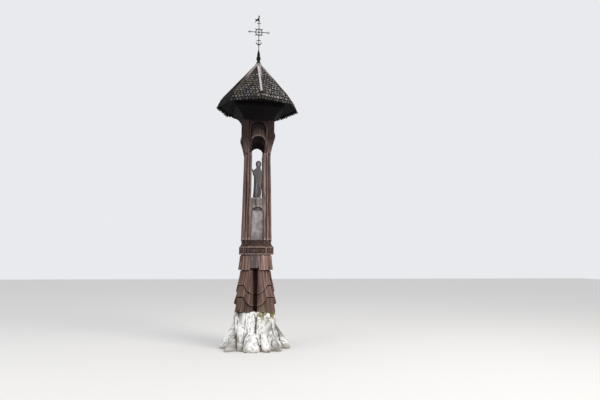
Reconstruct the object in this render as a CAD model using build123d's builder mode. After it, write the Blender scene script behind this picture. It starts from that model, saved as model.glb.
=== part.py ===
from build123d import *
from math import cos, radians, sin
import os

os.makedirs("parts", exist_ok=True)

# A carved oak pillar shrine on a whitewashed root foot, with a shingled eight-sided roof and an
# iron cross. Millimetres, +Z up, the front faces -Y, the origin is on the ground in the middle.
# "Half" is half the width across the flat sides, measured from the pillar's axis.

# Root foot
foot_height = 660
foot_top_half = 350
foot_ground_half = 364
foot_round = 150
root_start = 240
root_rise = 640
root_tip_rise = 44
root_tip_share = 0.5
root_fall = 0.95
root_sections = 6
root_directions = (-8, -45, -70, -103, -148, 172, 130, 96, 62, 32)
root_reaches = (620, 585, 545, 520, 640, 610, 580, 520, 560, 590)
root_halves = (125, 105, 95, 210, 88, 125, 110, 190, 105, 110)

# Trunk of four skirted tiers
trunk_turn = -4.5
bottom_tier_height = 265
bottom_tier_top_half = 321
bottom_tier_foot_half = 357
lower_tier_height = 205
lower_tier_top_half = 293
lower_tier_foot_half = 343
upper_tier_height = 260
upper_tier_top_half = 265
upper_tier_foot_half = 316
top_tier_height = 270
top_tier_top_half = 279
top_tier_foot_half = 307
groove_gap = 70
groove_depth = 150
groove_round = 100
corner_round = 55
skirt_drop = 165
skirt_flat = 205
skirt_bow = 27
flare_share = 0.38
shadow_height = 18
shadow_depth = 20
tongue_width = 165
tongue_height = 235
tongue_depth = 60
tongue_setback = 14
tongue_shift = -22
tongue_round = 30

# Waist band and the cove over it
band_height = 140
band_half = 292
band_fillet = 22
band_panel_half = 150
band_panel_depth = 14
band_flute = 15
band_flute_depth = 12
band_flute_pitch = 38
band_flutes = 3
cove_height = 120
cove_hollow = 24
cove_top_half = 266

# Column: four reeded posts, two side panels and a pedestal
column_height = 1580
column_top_half = 233
niche_foot_half = 122
niche_head_half = 108
flat_share = 0.24
bead_start_share = 0.36
bead_end_share = 0.6
corner_bead_share = 0.71
corner_soft_share = 0.075
reed_depth = 16
panel_setback = 22
pedestal_height = 760
pedestal_setback = 26
recess_depth = 62
recess_crown = 598
recess_rise = 115

# Plaque
plaque_width = 204
plaque_height = 525
plaque_thickness = 26
plaque_border = 16
plaque_relief = 6

# Head over the niche
head_height = 600
head_half = 287
head_post_width = 112
head_setback = 17
knob_half = 303
knob_widest = 288
knob_top = 385
knob_hollow = 6
knob_bulge = 9
corner_share = 1.36
vault_crown = 134
lip_half = 126
lip_crown = 300
lip_thickness = 16
hood_seat_half = 130
hood_seat_crown = 480
hood_reach = 306
blind_depth = 45
sunk_half = 141
sunk_depth = 60
sunk_springing = 440

# Capital under the roof
capital_height = 300
capital_half = 450
capital_cove = 200
capital_hollow = 42

# Roof of eight sides
roof_sides = 8
roof_turn = 2
deck_thickness = 35
eave_radius = 752
eave_hang = 28
kink_radius = 690
kink_rise = 72
eave_board = 22
rail_width = 60
roof_rise = 703
roof_top_radius = 76
slope_board = 28
strip_width = 62
strip_thickness = 18
strip_foot_radius = 672
strip_head_radius = 94
cap_height = 62
cap_top_radius = 54
cap_lip = 12

# Finial
finial_height = 265
finial_base = 48
finial_waist = 27
finial_waist_level = 43
finial_belly = 40
finial_belly_level = 95
finial_shoulder = 27
finial_shoulder_level = 155
finial_tip = 11
finial_lean = 0.25

# Iron cross
rod_radius = 7
rod_length = 705
cross_level = 369
arm_reach = 210
arm_size = 10
arm_boss = 17
crosslet_offset = 174
crosslet_half = 26
ring_radius = 62
ring_bar = 9
ray_length = 34
rod_crosslet_levels = (201, 545, 689)
rod_crosslet_halves = (42, 36, 17)
crescent_level = 110
crescent_radius = 56
crescent_bite = 50
crescent_lift = 16
iron_plate = 8

# Weather vane on the rod
vane_level = 596
vane_height = 70
vane_turn = 130
vane_length = 116
vane_plate = 4
vane_neck = 30
vane_tail = 76
vane_notch = 26
eye_radius = 13
eye_height = 15
eye_clearance = 0.6
vane_clearance = 2
collar_height = 8
collar_gap = 0.3

# Figure in the niche
figure_base_height = 26
figure_base_width = 124
figure_base_depth = 104
figure_base_round = 26
figure_height = 690
figure_width = 140
figure_depth = 100
figure_head_half = 50
figure_head_height = 128
figure_neck_overlap = 23
figure_head_lean = 16
raised_elbow = (-58, -22, 420)
raised_hand = (-88, -38, 530)
raised_hand_radius = 13
low_shoulder = (53, -4, 492)
low_hand = (58, -26, 194)
low_hand_radius = 16
arm_radius = 20
# Height, width and depth of the robe's sections as shares, and how far each stands to the right
robe_sections = (
    (0, 0.83, 0.95, -8),
    (0.3, 0.78, 0.9, -6),
    (0.62, 0.95, 0.95, 0),
    (0.86, 1, 0.8, 5),
    (1, 0.42, 0.5, 14),
)

# Levels from the ground up
lower_tier_level = foot_height + bottom_tier_height
upper_tier_level = lower_tier_level + lower_tier_height
top_tier_level = upper_tier_level + upper_tier_height
band_level = top_tier_level + top_tier_height
cove_level = band_level + band_height
column_level = cove_level + cove_height
niche_level = column_level + pedestal_height
head_level = column_level + column_height
capital_level = head_level + head_height
deck_level = capital_level + capital_height
rail_level = deck_level + deck_thickness
kink_level = rail_level + kink_rise
roof_top_level = kink_level + roof_rise
finial_level = roof_top_level + cap_height
rod_level = finial_level + finial_height

# Spare length of a cutting body past what it cuts, and how far two lengths called equal may differ
past = 60
length_slack = 1
clear_half = 700


def upright(turn):
    """Vertical plane through the axis, its X turned from the row's X, its Y up."""
    angle = radians(turn)
    return Plane((0, 0, 0), x_dir=(cos(angle), sin(angle), 0), z_dir=(sin(angle), -cos(angle), 0))


def level_plane(level, turn=0):
    """Horizontal plane at a level, turned about the axis."""
    angle = radians(turn)
    return Plane((0, 0, level), x_dir=(cos(angle), sin(angle), 0), z_dir=(0, 0, 1))


def root(direction, reach, half):
    """One root: arched sections that leave the stump high up and run down to the ground."""
    angle = radians(direction)
    with BuildPart() as limb:
        for step in range(root_sections + 1):
            share = step / root_sections
            distance = root_start + (reach - root_start) * share
            width = half * (1 - (1 - root_tip_share) * share)
            rise = root_tip_rise + (root_rise - root_tip_rise) * (1 - share) ** root_fall
            centre = (distance * cos(angle), distance * sin(angle), 0)
            section = Plane(centre, x_dir=(-sin(angle), cos(angle), 0), z_dir=(cos(angle), sin(angle), 0))
            with BuildSketch(section):
                with BuildLine():
                    arch = EllipticalCenterArc((0, 0), width, rise, start_angle=0, arc_size=180)
                    Line(arch @ 1, arch @ 0)
                make_face()
        loft()
    return limb


roots = [root(*sizes) for sizes in zip(root_directions, root_reaches, root_halves)]

# The foot is a stump with its roots, levelled under the trunk.
with BuildPart() as root_foot:
    with BuildSketch(level_plane(0, trunk_turn)):
        RectangleRounded(2 * foot_ground_half, 2 * foot_ground_half, foot_round)
    with BuildSketch(level_plane(foot_height, trunk_turn)):
        RectangleRounded(2 * foot_top_half, 2 * foot_top_half, foot_round)
    loft(ruled=True)
    for limb_of_root in roots:
        add(limb_of_root.part)


def lobe(half):
    """One lobe of the trunk's plan, rounded wide beside the grooves and less at the corner."""
    side = half - groove_gap / 2
    with BuildSketch() as plan:
        with Locations((half - side / 2, half - side / 2)):
            Rectangle(side, side)
        fillet(vertices().sort_by(lambda corner: corner.X + corner.Y)[1:3], groove_round)
        fillet(vertices().sort_by(lambda corner: corner.X + corner.Y)[-1], corner_round)
    return plan


def lobed_plan(level, half):
    """Plan of the trunk: four rounded lobes round a core, a groove in the middle of each side."""
    core = 2 * (half - groove_depth)
    with BuildSketch(level_plane(level, trunk_turn)) as plan:
        for quarter in range(4):
            add(lobe(half).sketch, rotation=90 * quarter)
        Rectangle(core, core)
    return plan


def flare(edge_level, top_level, edge_half, top_half, drop):
    """Block of a tier that flares out more near its edge, and on below it by its skirt's drop."""
    middle_level = (edge_level + top_level) / 2
    middle_half = top_half + flare_share * (edge_half - top_half)
    slope = (edge_half - middle_half) / (middle_level - edge_level)
    with BuildPart() as block:
        add(lobed_plan(edge_level - drop, edge_half + slope * drop).sketch)
        add(lobed_plan(middle_level, middle_half).sketch)
        add(lobed_plan(top_level, top_half).sketch)
        loft(ruled=True)
    return block


def over_skirt(edge_level):
    """Space over a skirt's edge, which is level at the corners and swept down to each groove."""
    bottom = edge_level - skirt_drop
    sweep_end = groove_gap / 2
    with BuildPart() as space:
        for quarter in (0, 90):
            with BuildSketch(upright(trunk_turn + quarter)):
                with BuildLine():
                    Line((clear_half, edge_level), (skirt_flat, edge_level))
                    SagittaArc((skirt_flat, edge_level), (sweep_end, bottom), skirt_bow)
                    Line((sweep_end, bottom), (0, bottom))
                    mirror(about=Plane.YZ)
                    Polyline(
                        (-clear_half, edge_level),
                        (-clear_half, edge_level + clear_half),
                        (clear_half, edge_level + clear_half),
                        (clear_half, edge_level),
                    )
                make_face()
            extrude(amount=clear_half, both=True)
    return space


def over_level(level):
    """Space over a level joint."""
    with BuildPart() as space:
        with Locations((0, 0, level)):
            Box(
                2 * clear_half,
                2 * clear_half,
                clear_half,
                align=(Align.CENTER, Align.CENTER, Align.MIN),
            )
    return space


def tier(foot_level, top_level, foot_half, top_half, over, foot_space=None, drop=0):
    """Tier with a neck, set back under the edge of what stands on it, and its own foot's shape."""
    with BuildPart() as neck:
        add(flare(foot_level, top_level, foot_half - shadow_depth, top_half - shadow_depth, drop).part)
        add(over(top_level).part, mode=Mode.SUBTRACT)
    with BuildPart() as block:
        add(flare(foot_level, top_level, foot_half, top_half, drop).part)
        add(over(top_level - shadow_height).part, mode=Mode.SUBTRACT)
        add(neck.part)
        if foot_space:
            add(foot_space.part, mode=Mode.INTERSECT)
    return block


tier_bottom = tier(
    foot_height, lower_tier_level, bottom_tier_foot_half, bottom_tier_top_half, over_skirt
)
tier_lower = tier(
    lower_tier_level,
    upper_tier_level,
    lower_tier_foot_half,
    lower_tier_top_half,
    over_skirt,
    over_skirt(lower_tier_level),
    skirt_drop,
)
tier_upper = tier(
    upper_tier_level,
    top_tier_level,
    upper_tier_foot_half,
    upper_tier_top_half,
    over_level,
    over_skirt(upper_tier_level),
    skirt_drop,
)


def tongue_outline(quarter, distance, foot_level):
    """Outline of a tongue on one side of the top tier, at a distance from the axis."""
    with BuildSketch(upright(trunk_turn + 90 * quarter).offset(distance)) as outline:
        with Locations((tongue_shift, foot_level)):
            Rectangle(tongue_width, band_level - foot_level, align=(Align.CENTER, Align.MIN))
    return outline


# A plain tongue is let into the middle of each side of the top tier, over a hollow.
tongue_back = top_tier_top_half - tongue_setback - tongue_depth
with BuildPart() as tongue_panels:
    for quarter in range(4):
        outline = tongue_outline(quarter, tongue_back, band_level - tongue_height)
        extrude(outline.sketch, amount=tongue_depth)
    foot_edges = edges().filter_by(Axis.Z, reverse=True).group_by(Axis.Z)[0]
    fillet(foot_edges.filter_by(lambda edge: abs(edge.length - tongue_depth) < length_slack), tongue_round)

top_block = tier(top_tier_level, band_level, top_tier_foot_half, top_tier_top_half, over_level)
with BuildPart() as tier_top:
    add(top_block.part)
    for quarter in range(4):
        outline = tongue_outline(quarter, tongue_back, top_tier_level)
        extrude(outline.sketch, amount=top_tier_foot_half, mode=Mode.SUBTRACT)

# The band has a sunk panel in the middle of each side and fluted corner blocks.
with BuildPart() as waist_band:
    with BuildSketch(level_plane(band_level)):
        Rectangle(2 * band_half, 2 * band_half)
    extrude(amount=band_height)
    sunk_height = band_height - 2 * band_fillet
    with Locations((0, 0, band_level + band_height / 2)):
        with PolarLocations(band_half, 4):
            Box(2 * band_panel_depth, 2 * band_panel_half, sunk_height, mode=Mode.SUBTRACT)
            for flute in range(1, band_flutes + 1):
                place = band_panel_half + band_flute_pitch * flute
                with Locations((0, place, 0), (0, -place, 0)):
                    Box(2 * band_flute_depth, band_flute, sunk_height, mode=Mode.SUBTRACT)


def square_turned(edge_at):
    """Four-sided block whose outline on every side follows one edge line, its corners rounded."""
    edge = edge_at(1)
    wide_edge = edge_at(corner_share)
    with BuildPart() as round_block:
        with BuildSketch(Plane.XZ):
            with BuildLine():
                add(wide_edge)
                Polyline(wide_edge @ 1, (0, (wide_edge @ 1).Y), (0, (wide_edge @ 0).Y), wide_edge @ 0)
            make_face()
        revolve(axis=Axis.Z)
    with BuildPart() as block:
        for side, mode in ((Plane.XZ, Mode.ADD), (Plane.YZ, Mode.INTERSECT)):
            with BuildSketch(side):
                with BuildLine():
                    add(edge)
                    mirror(about=Plane.YZ)
                    Line(edge @ 0, (-(edge @ 0).X, (edge @ 0).Y))
                    Line(edge @ 1, (-(edge @ 1).X, (edge @ 1).Y))
                make_face()
            extrude(amount=clear_half, both=True, mode=mode)
        add(round_block.part, mode=Mode.INTERSECT)
    return block


def cove_edge(share):
    """Edge of the cove that narrows from the band to the column."""
    with BuildLine() as edge:
        SagittaArc((share * band_half, cove_level), (share * cove_top_half, column_level), cove_hollow)
    return edge.line


column_cove = square_turned(cove_edge)


def column_half(level):
    """Half width of the column, which narrows towards the head."""
    return cove_top_half + (column_top_half - cove_top_half) * (level - column_level) / column_height


def niche_half(level):
    """Half width between the posts, whose inner faces lean like the outer ones."""
    lean = (niche_head_half - niche_foot_half) / column_height
    return niche_foot_half + lean * (level - column_level)


def reeded_plan(level):
    """Plan of a post: a flat beside the niche, a groove, a bead, a groove and a corner bead."""
    half = column_half(level)
    inner = niche_half(level)
    face = half - inner
    flat_end = inner + flat_share * face
    bead_start = inner + bead_start_share * face
    bead_end = inner + bead_end_share * face
    corner_start = inner + corner_bead_share * face
    floor = half - reed_depth
    corner = half - corner_soft_share * face
    with BuildSketch(level_plane(level)) as plan:
        with BuildLine():
            Polyline((inner, inner), (inner, half), (flat_end, half), (flat_end, floor), (bead_start, floor))
            ThreePointArc((bead_start, floor), ((bead_start + bead_end) / 2, half), (bead_end, floor))
            Line((bead_end, floor), (corner_start, floor))
            ThreePointArc((corner_start, floor), (corner, corner), (floor, corner_start))
            Line((floor, corner_start), (floor, bead_end))
            ThreePointArc((floor, bead_end), (half, (bead_start + bead_end) / 2), (floor, bead_start))
            Polyline((floor, bead_start), (floor, flat_end), (half, flat_end), (half, inner), (inner, inner))
        make_face()
    return plan


def head_edge(share):
    """Edge of the head's corners: it swells to a knob, then stands straight up to the capital."""
    with BuildLine() as edge:
        SagittaArc(
            (share * column_top_half, head_level),
            (share * knob_half, head_level + knob_widest),
            knob_hollow,
        )
        SagittaArc(
            (share * knob_half, head_level + knob_widest),
            (share * head_half, head_level + knob_top),
            -knob_bulge,
        )
        Line((share * head_half, head_level + knob_top), (share * head_half, capital_level))
    return edge.line


head_corners = square_turned(head_edge)
head_inner = head_half - head_post_width
with BuildPart() as head_corner:
    add(head_corners.part)
    with Locations((head_inner, head_inner, head_level)):
        Box(clear_half, clear_half, head_height, align=Align.MIN, mode=Mode.INTERSECT)

with BuildPart() as post_pattern:
    add(reeded_plan(column_level).sketch)
    add(reeded_plan(head_level).sketch)
    loft(ruled=True)
    add(head_corner.part)


def post(quarter):
    """Reeded post with its knob and the straight corner of the head over it."""
    with BuildPart() as turned:
        add(post_pattern.part, rotation=(0, 0, 90 * quarter))
    return turned


post_back_right = post(0)
post_back_left = post(1)
post_front_left = post(2)
post_front_right = post(3)


def side_panel(turn):
    """Plank between a front and a back post, set back behind their faces."""
    with BuildPart() as plank:
        for level in (column_level, head_level):
            inner = niche_half(level)
            thickness = column_half(level) - panel_setback - inner
            with BuildSketch(level_plane(level, turn)):
                with Locations((inner, 0)):
                    Rectangle(thickness, 2 * inner, align=(Align.MIN, Align.CENTER))
        loft(ruled=True)
    return plank


side_panel_right = side_panel(0)
side_panel_left = side_panel(180)

# The pedestal carries the figure and has an arched recess in its front and its back.
pedestal_half = cove_top_half - pedestal_setback
recess_arch_foot = column_level + recess_crown - recess_rise
arch_half = niche_half(recess_arch_foot)
ledge_half = niche_half(niche_level)
with BuildPart() as pedestal:
    with BuildSketch(Plane.XZ):
        with BuildLine():
            Polyline(
                (arch_half, recess_arch_foot),
                (ledge_half, niche_level),
                (-ledge_half, niche_level),
                (-arch_half, recess_arch_foot),
            )
            ThreePointArc(
                (-arch_half, recess_arch_foot),
                (0, column_level + recess_crown),
                (arch_half, recess_arch_foot),
            )
        make_face()
    extrude(amount=pedestal_half, both=True)
    with BuildSketch(Plane.XZ):
        with BuildLine():
            Polyline(
                (niche_foot_half, column_level),
                (ledge_half, niche_level),
                (-ledge_half, niche_level),
                (-niche_foot_half, column_level),
                (niche_foot_half, column_level),
            )
        make_face()
    extrude(amount=pedestal_half - recess_depth, both=True)

plaque_back = pedestal_half - recess_depth
with BuildPart() as plaque:
    with BuildSketch(Plane.XZ.offset(plaque_back)):
        with Locations((0, column_level)):
            Rectangle(plaque_width, plaque_height, align=(Align.CENTER, Align.MIN))
    extrude(amount=plaque_thickness)
    with BuildSketch(Plane.XZ.offset(plaque_back + plaque_thickness)):
        with Locations((0, column_level + plaque_height / 2)):
            Rectangle(plaque_width - 2 * plaque_border, plaque_height - 2 * plaque_border)
    extrude(amount=-plaque_relief, mode=Mode.SUBTRACT)


def arch_face(plane, half, foot_half, foot, springing, rise):
    """Arched outline: legs up to the springing, then half an ellipse."""
    with BuildSketch(plane) as face:
        with BuildLine():
            Line((foot_half, foot), (half, springing))
            EllipticalCenterArc((0, springing), half, rise, start_angle=0, arc_size=180)
            Polyline((-half, springing), (-foot_half, foot), (foot_half, foot))
        make_face()
    return face


vault_springing = head_level + vault_crown - niche_head_half
lip_springing = head_level + lip_crown - lip_half
vault_foot = head_level - past


def vault_section(distance, half, springing):
    """Section of the niche's vault at a distance from the axis."""
    plane = Plane.XZ.offset(distance)
    return arch_face(plane, half, niche_head_half, vault_foot, springing, half).sketch


# The vault is low in the middle and opens towards the lips of the front and back hoods.
with BuildPart() as vault:
    extrude(vault_section(-clear_half, niche_head_half, vault_springing), amount=2 * clear_half)
    for side in (1, -1):
        add(vault_section(side * past, niche_head_half, vault_springing))
        add(vault_section(side * hood_reach, lip_half, lip_springing))
        loft(ruled=True)

head_face = head_half - head_setback
hood_seat = head_face - sunk_depth
sunk_level = head_level + sunk_springing

# The head fills the cross between the posts, with a sunk arch on each side that holds a hood.
with BuildPart() as head_block:
    with Locations((0, 0, head_level)):
        for wide, deep in ((head_inner, head_face), (head_face, head_inner)):
            Box(2 * wide, 2 * deep, head_height, align=(Align.CENTER, Align.CENTER, Align.MIN))
    add(head_corners.part, mode=Mode.INTERSECT)
    for quarter in range(4):
        seat = upright(90 * quarter).offset(hood_seat)
        sunk = arch_face(seat, sunk_half, sunk_half, vault_foot, sunk_level, sunk_half)
        extrude(sunk.sketch, amount=2 * sunk_depth, mode=Mode.SUBTRACT)
    add(vault.part, mode=Mode.SUBTRACT)


def hood_edge(share):
    """Edge of the hoods seen from the side: they swell with the head's corners up to the lip."""
    with BuildLine() as edge:
        SagittaArc(
            (share * column_top_half, head_level),
            (share * hood_reach, head_level + knob_widest),
            knob_hollow,
        )
        Line((share * hood_reach, head_level + knob_widest), (share * hood_reach, capital_level))
    return edge.line


hood_space = square_turned(hood_edge)


def hood(quarter, open_vault):
    """Arched visor that leans out from the head, over the niche or over a blind arch."""
    side = upright(90 * quarter)
    lip_outer = lip_half + lip_thickness
    seat_springing = head_level + hood_seat_crown - hood_seat_half
    seat_plane = side.offset(hood_seat)
    lip_plane = side.offset(hood_reach)
    seat = arch_face(seat_plane, hood_seat_half, hood_seat_half, head_level, seat_springing, hood_seat_half)
    lip = arch_face(lip_plane, lip_outer, lip_outer, head_level, lip_springing, lip_outer)
    with BuildPart() as visor:
        add(seat.sketch)
        add(lip.sketch)
        loft(ruled=True)
        add(hood_space.part, mode=Mode.INTERSECT)
        if open_vault:
            add(vault.part, mode=Mode.SUBTRACT)
        else:
            blind_plane = side.offset(hood_reach - blind_depth)
            blind = arch_face(blind_plane, lip_half, niche_head_half, vault_foot, lip_springing, lip_half)
            extrude(blind.sketch, amount=2 * blind_depth, mode=Mode.SUBTRACT)
    return visor


hood_front = hood(0, True)
hood_back = hood(2, True)
hood_right = hood(1, False)
hood_left = hood(3, False)


def capital_edge(share):
    """Edge of the cove that spreads from the head to the boards under the roof."""
    cove_end = capital_level + capital_cove
    with BuildLine() as edge:
        SagittaArc((share * head_half, capital_level), (share * capital_half, cove_end), capital_hollow)
        Line((share * capital_half, cove_end), (share * capital_half, deck_level))
    return edge.line


capital = square_turned(capital_edge)


def octagon_block(foot_level, top_level, foot_radius, top_radius):
    """Eight-sided block between two levels, its corners at the roof's hips."""
    with BuildPart() as block:
        with BuildSketch(level_plane(foot_level, roof_turn)):
            RegularPolygon(foot_radius, roof_sides, rotation=90)
        with BuildSketch(level_plane(top_level, roof_turn)):
            RegularPolygon(top_radius, roof_sides, rotation=90)
        loft(ruled=True)
    return block


# The eave boards lean in from the eave to the kink of the roof.
eave_level = deck_level - eave_hang
eave_lean = (eave_radius - kink_radius) / (kink_level - eave_level)


def eave_inside(level):
    """Corner radius of the eave boards' inner face at a level."""
    return kink_radius + eave_lean * (kink_level - level) - eave_board


roof_deck = octagon_block(deck_level, rail_level, eave_inside(deck_level), eave_inside(rail_level))

rail_inside = eave_inside(kink_level) - rail_width
rail_solid = octagon_block(rail_level, kink_level, eave_inside(rail_level), eave_inside(kink_level))
rail_hole = octagon_block(rail_level, kink_level, rail_inside, rail_inside)
with BuildPart() as eave_rail:
    add(rail_solid.part)
    add(rail_hole.part, mode=Mode.SUBTRACT)

eave_solid = octagon_block(eave_level, kink_level, eave_radius, kink_radius)
eave_hole = octagon_block(eave_level, kink_level, eave_inside(eave_level), eave_inside(kink_level))
with BuildPart() as eave_boards:
    add(eave_solid.part)
    add(eave_hole.part, mode=Mode.SUBTRACT)

roof_pitch = roof_rise / (kink_radius - roof_top_radius)
# A roof board's thickness, measured upright along a hip
board_upright = slope_board * (1 + (roof_pitch / cos(radians(180 / roof_sides))) ** 2) ** 0.5
board_run = board_upright / roof_pitch
roof_solid = octagon_block(kink_level, roof_top_level, kink_radius, roof_top_radius)
roof_inside = octagon_block(kink_level, roof_top_level, kink_radius - board_run, roof_top_radius - board_run)


def roof_slope(number):
    """One side of the roof, mitred along its two hips."""
    half_step = radians(180 / roof_sides)
    middle = roof_turn + 90 + 360 / roof_sides * (number + 0.5)
    spread = 2 * clear_half * sin(half_step) / cos(half_step)
    with BuildPart() as board:
        add(roof_solid.part)
        add(roof_inside.part, mode=Mode.SUBTRACT)
        with BuildSketch(level_plane(kink_level, middle)):
            with BuildLine():
                Polyline((0, 0), (2 * clear_half, spread), (2 * clear_half, -spread), (0, 0))
            make_face()
        extrude(amount=roof_rise, mode=Mode.INTERSECT)
    return board


roof_slopes = [roof_slope(number) for number in range(roof_sides)]


def hip_line_level(radius):
    """Level of the boards' surface on a hip at a radius."""
    return kink_level + roof_pitch * (kink_radius - radius)


# A strip covers each hip, from the cap down to the eave.
with BuildPart() as hip_strips:
    for number in range(roof_sides):
        direction = -90 + roof_turn + 360 / roof_sides * number
        head_line = hip_line_level(strip_head_radius)
        foot_line = hip_line_level(strip_foot_radius)
        with BuildSketch(upright(direction)):
            with BuildLine():
                Polyline(
                    (strip_head_radius, head_line),
                    (strip_head_radius, head_line + strip_thickness),
                    (strip_foot_radius, foot_line + strip_thickness),
                    (strip_foot_radius, foot_line),
                    (strip_head_radius, head_line),
                )
            make_face()
        extrude(amount=strip_width / 2, both=True)

roof_cap = octagon_block(roof_top_level, finial_level, roof_top_radius + cap_lip, cap_top_radius)

with BuildPart() as finial:
    with BuildSketch(Plane.XZ):
        with BuildLine():
            Polyline((0, finial_level + finial_height), (0, finial_level), (finial_base, finial_level))
            Spline(
                (finial_base, finial_level),
                (finial_waist, finial_level + finial_waist_level),
                (finial_belly, finial_level + finial_belly_level),
                (finial_shoulder, finial_level + finial_shoulder_level),
                (finial_tip, finial_level + finial_height),
                tangents=((0, 1), (-finial_lean, 1)),
            )
            Line((finial_tip, finial_level + finial_height), (0, finial_level + finial_height))
        make_face()
    revolve(axis=Axis.Z)

# The rod carries a collar that the vane's lower eye turns on.
vane_foot = rod_level + vane_level
with BuildPart() as cross_rod:
    with Locations((0, 0, rod_level)):
        Cylinder(rod_radius, rod_length, align=(Align.CENTER, Align.CENTER, Align.MIN))
    with Locations((0, 0, vane_foot - collar_gap)):
        Cylinder(eye_radius, collar_height, align=(Align.CENTER, Align.CENTER, Align.MAX))

cross_middle = rod_level + cross_level


def rod_space():
    """Space of the iron rod, cut from what is threaded on it."""
    with BuildPart() as space:
        with Locations((0, 0, rod_level - past)):
            Cylinder(rod_radius, rod_length + 2 * past, align=(Align.CENTER, Align.CENTER, Align.MIN))
    return space


rod_hole = rod_space()

with BuildPart() as cross_arms:
    with Locations((0, 0, cross_middle)):
        Box(2 * arm_reach, arm_size, arm_size)
        Cylinder(arm_boss, arm_size, rotation=(90, 0, 0))
        with Locations((-crosslet_offset, 0, 0), (crosslet_offset, 0, 0)):
            Box(arm_size, arm_size, 2 * crosslet_half)
    add(rod_hole.part, mode=Mode.SUBTRACT)

with BuildPart() as ring_quarters:
    with BuildSketch(Plane.XZ.offset(-ring_bar / 2)):
        with Locations((0, cross_middle)):
            Circle(ring_radius + ring_bar / 2)
            Circle(ring_radius - ring_bar / 2, mode=Mode.SUBTRACT)
            with PolarLocations(ring_radius + ray_length / 2, 4, start_angle=45):
                Rectangle(ray_length, ring_bar)
    extrude(amount=ring_bar)
    with Locations((0, 0, cross_middle)):
        Box(2 * arm_reach, 2 * arm_size, arm_size, mode=Mode.SUBTRACT)
        Box(2 * rod_radius, 2 * arm_size, 2 * arm_reach, mode=Mode.SUBTRACT)

with BuildPart() as rod_crosslets:
    for crosslet_level, half in zip(rod_crosslet_levels, rod_crosslet_halves):
        with Locations((0, 0, rod_level + crosslet_level)):
            Box(2 * half, arm_size, arm_size)
            Cylinder(rod_radius + arm_size / 2, arm_size)
    add(rod_hole.part, mode=Mode.SUBTRACT)

with BuildPart() as crescent:
    with BuildSketch(Plane.XZ.offset(-iron_plate / 2)):
        with Locations((0, rod_level + crescent_level + crescent_radius)):
            Circle(crescent_radius)
        with Locations((0, rod_level + crescent_level + crescent_radius + crescent_lift)):
            Circle(crescent_bite, mode=Mode.SUBTRACT)
        with Locations((0, rod_level + crescent_level + crescent_radius)):
            Rectangle(2 * crescent_radius, crescent_radius, align=(Align.CENTER, Align.MIN), mode=Mode.SUBTRACT)
    extrude(amount=iron_plate)
    with Locations((0, 0, rod_level + crescent_level)):
        Cylinder(arm_boss, iron_plate, align=(Align.CENTER, Align.CENTER, Align.MIN))
    add(rod_hole.part, mode=Mode.SUBTRACT)

# The vane is a fishtail plate with two eyes that turn freely on the rod.
vane_middle = vane_foot + vane_height / 2
vane_root = rod_radius + vane_clearance
with BuildPart() as vane:
    with BuildSketch(upright(vane_turn).offset(-vane_plate / 2)):
        with BuildLine():
            Polyline(
                (vane_root, vane_middle - vane_height / 2),
                (vane_root, vane_middle + vane_height / 2),
                (vane_length / 2, vane_middle + vane_neck / 2),
                (vane_length, vane_middle + vane_tail / 2),
                (vane_length - vane_notch, vane_middle),
                (vane_length, vane_middle - vane_tail / 2),
                (vane_length / 2, vane_middle - vane_neck / 2),
                (vane_root, vane_middle - vane_height / 2),
            )
        make_face()
    extrude(amount=vane_plate)
    with Locations((0, 0, vane_foot), (0, 0, vane_foot + vane_height - eye_height)):
        Cylinder(eye_radius, eye_height, align=(Align.CENTER, Align.CENTER, Align.MIN))
    with Locations((0, 0, vane_foot - past)):
        Cylinder(
            rod_radius + eye_clearance,
            vane_height + 2 * past,
            align=(Align.CENTER, Align.CENTER, Align.MIN),
            mode=Mode.SUBTRACT,
        )

with BuildPart() as figure_base:
    with BuildSketch(level_plane(niche_level)):
        RectangleRounded(figure_base_width, figure_base_depth, figure_base_round)
    extrude(amount=figure_base_height)

figure_level = niche_level + figure_base_height


def limb(start, end, start_radius, end_radius):
    """Tapered round limb with a rounded end."""
    along = Vector(*end) - Vector(*start)
    with BuildPart() as piece:
        with BuildSketch(Plane(start, z_dir=along)):
            Circle(start_radius)
        with BuildSketch(Plane(end, z_dir=along)):
            Circle(end_radius)
        loft()
        with Locations(end):
            Sphere(end_radius)
    return piece


def in_figure(place):
    """A place measured from the middle of the figure's foot."""
    return place[0], place[1], figure_level + place[2]


# The figure: a long robe, a hooded head, one hand raised and the other at its side.
robe_height = figure_height - figure_head_height + figure_neck_overlap
raised_arm = limb(in_figure(raised_elbow), in_figure(raised_hand), arm_radius, raised_hand_radius)
low_arm = limb(in_figure(low_shoulder), in_figure(low_hand), arm_radius, low_hand_radius)
with BuildPart() as figure:
    for height_share, width_share, depth_share, lean in robe_sections:
        with BuildSketch(level_plane(figure_level + robe_height * height_share)):
            with Locations((lean, 0)):
                Ellipse(figure_width / 2 * width_share, figure_depth / 2 * depth_share)
    loft()
    with BuildSketch(Plane.XZ):
        with BuildLine():
            head_middle = (figure_head_lean, figure_level + figure_height - figure_head_height / 2)
            skull = EllipticalCenterArc(
                head_middle, figure_head_half, figure_head_height / 2, start_angle=-90, arc_size=180
            )
            Line(skull @ 1, skull @ 0)
        make_face()
    revolve(axis=Axis((figure_head_lean, 0, 0), (0, 0, 1)))
    add(raised_arm.part)
    add(low_arm.part)

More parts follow.
